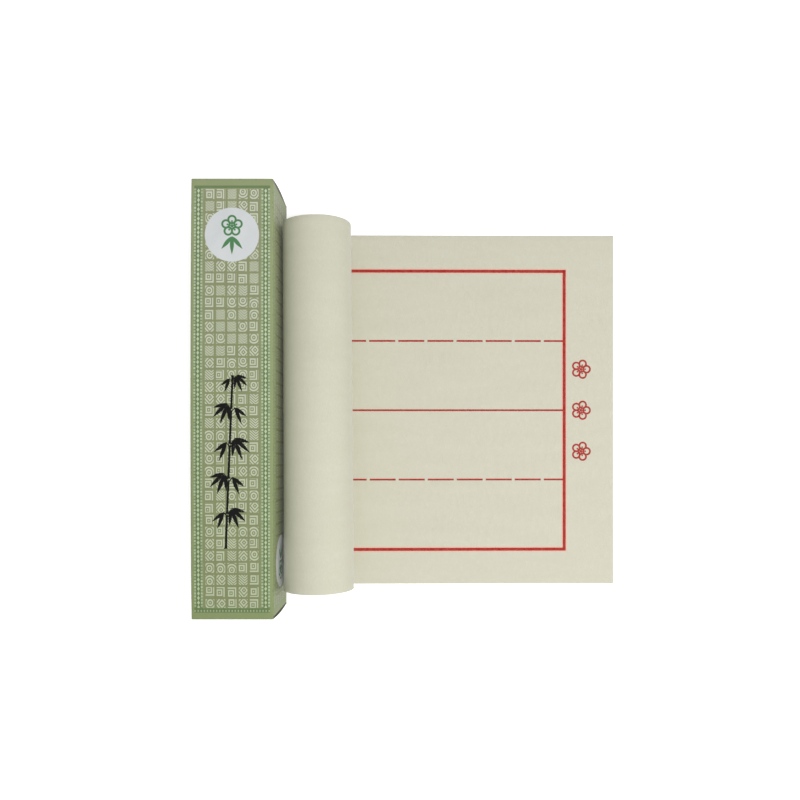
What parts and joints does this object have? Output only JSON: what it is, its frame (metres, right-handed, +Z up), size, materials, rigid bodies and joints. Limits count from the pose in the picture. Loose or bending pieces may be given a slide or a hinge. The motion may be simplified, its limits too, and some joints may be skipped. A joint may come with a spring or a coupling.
{
  "type": "calligraphy felt mat",
  "caption": "Felt writing mat with printed ruling, partly unrolled from its roll, beside the square tuck-end carton it is stored in.",
  "frame": {"origin": "middle of the set's footprint, on the table", "axes": "+X along the sheet from the carton to the mat's free edge, +Y along the carton and the roll towards the carton's top end, +Z up"},
  "size_m": [0.3452, 0.343, 0.064],
  "materials": {
    "felt": "matte",
    "printed_board": "satin"
  },
  "bodies": {
    "mat": {"mat_roll": "felt"},
    "mat_end": {"mat_free_end": "felt"},
    "carton": {"carton_sleeve": "printed_board"},
    "top_lid": {"top_lid": "printed_board"},
    "top_tongue": {"top_tuck_tongue": "printed_board"},
    "top_dust_left": {"top_dust_flap_left": "printed_board"},
    "top_dust_right": {"top_dust_flap_right": "printed_board"},
    "bottom_lid": {"bottom_lid": "printed_board"},
    "bottom_tongue": {"bottom_tuck_tongue": "printed_board"},
    "bottom_dust_left": {"bottom_dust_flap_left": "printed_board"},
    "bottom_dust_right": {"bottom_dust_flap_right": "printed_board"}
  },
  "joints": [
    {"name": "mat_lift", "type": "hinge", "parent": "mat", "child": "mat_end", "pos_m": [-0.0444, -0.004, 0.002], "axis": [0, -1, 0], "range_deg": [0, 70]},
    {"name": "carton_slide", "type": "slide", "parent": "mat", "child": "carton", "axis": [-1, 0, 0], "range_m": [0, 0.12]},
    {"name": "top_lid_hinge", "type": "hinge", "parent": "carton", "child": "top_lid", "pos_m": [-0.1406, 0.1712, 0.0637], "axis": [1, 0, 0], "range_deg": [0, 120]},
    {"name": "top_tongue_hinge", "type": "hinge", "parent": "top_lid", "child": "top_tongue", "pos_m": [-0.1406, 0.1712, 0.0013], "axis": [1, 0, 0], "range_deg": [0, 25]},
    {"name": "top_dust_left_hinge", "type": "hinge", "parent": "carton", "child": "top_dust_left", "pos_m": [-0.1723, 0.1703, 0.032], "axis": [0, 0, 1], "range_deg": [0, 96.5]},
    {"name": "top_dust_right_hinge", "type": "hinge", "parent": "carton", "child": "top_dust_right", "pos_m": [-0.1089, 0.1703, 0.032], "axis": [0, 0, -1], "range_deg": [0, 96.5]},
    {"name": "bottom_lid_hinge", "type": "hinge", "parent": "carton", "child": "bottom_lid", "pos_m": [-0.1406, -0.1712, 0.0637], "axis": [-1, 0, 0], "range_deg": [0, 120]},
    {"name": "bottom_tongue_hinge", "type": "hinge", "parent": "bottom_lid", "child": "bottom_tongue", "pos_m": [-0.1406, -0.1712, 0.0013], "axis": [-1, 0, 0], "range_deg": [0, 25]},
    {"name": "bottom_dust_left_hinge", "type": "hinge", "parent": "carton", "child": "bottom_dust_left", "pos_m": [-0.1723, -0.1703, 0.032], "axis": [0, 0, -1], "range_deg": [0, 96.5]},
    {"name": "bottom_dust_right_hinge", "type": "hinge", "parent": "carton", "child": "bottom_dust_right", "pos_m": [-0.1089, -0.1703, 0.032], "axis": [0, 0, 1], "range_deg": [0, 96.5]}
  ],
  "couplings": [
    {"joint": "top_tongue_hinge", "follows": "top_lid_hinge", "ratio": 0.2},
    {"joint": "top_dust_left_hinge", "follows": "top_lid_hinge", "ratio": 0.8},
    {"joint": "top_dust_right_hinge", "follows": "top_lid_hinge", "ratio": 0.8},
    {"joint": "bottom_tongue_hinge", "follows": "bottom_lid_hinge", "ratio": 0.2},
    {"joint": "bottom_dust_left_hinge", "follows": "bottom_lid_hinge", "ratio": 0.8},
    {"joint": "bottom_dust_right_hinge", "follows": "bottom_lid_hinge", "ratio": 0.8}
  ]
}
